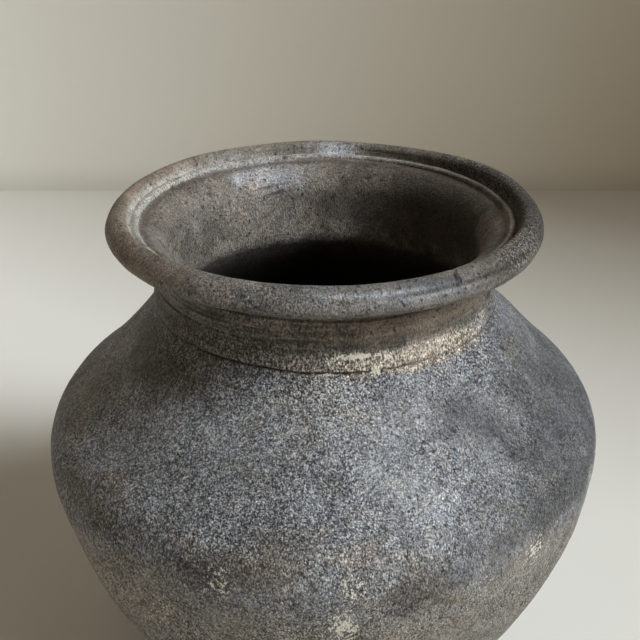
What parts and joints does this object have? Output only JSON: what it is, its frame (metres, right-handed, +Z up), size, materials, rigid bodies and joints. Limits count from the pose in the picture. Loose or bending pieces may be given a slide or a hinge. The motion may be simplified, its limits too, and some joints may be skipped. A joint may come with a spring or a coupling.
{
  "type": "clay pot",
  "caption": "Wide hand-built smoked clay olla with a full belly, flat foot, short upright neck and rolled rim with an inner ridge.",
  "frame": {"origin": "centre of the flat foot, on the surface that the pot stands on", "axes": "+Z up the pot's axis towards the mouth, +Y away from the viewer, +X to the viewer's right"},
  "size_m": [0.2346, 0.2346, 0.2101],
  "materials": {
    "smoked_clay": "matte, gritty, smoke-blackened with brown patina"
  },
  "bodies": {
    "root": {"base_pat": "smoked_clay", "foot_coil": "smoked_clay", "lower_coil": "smoked_clay", "flank_coil": "smoked_clay", "belly_coil": "smoked_clay", "upper_belly_coil": "smoked_clay", "shoulder_coil": "smoked_clay", "neck_collar": "smoked_clay", "neck_fillet": "smoked_clay", "rim_coil": "smoked_clay"}
  },
  "joints": []
}
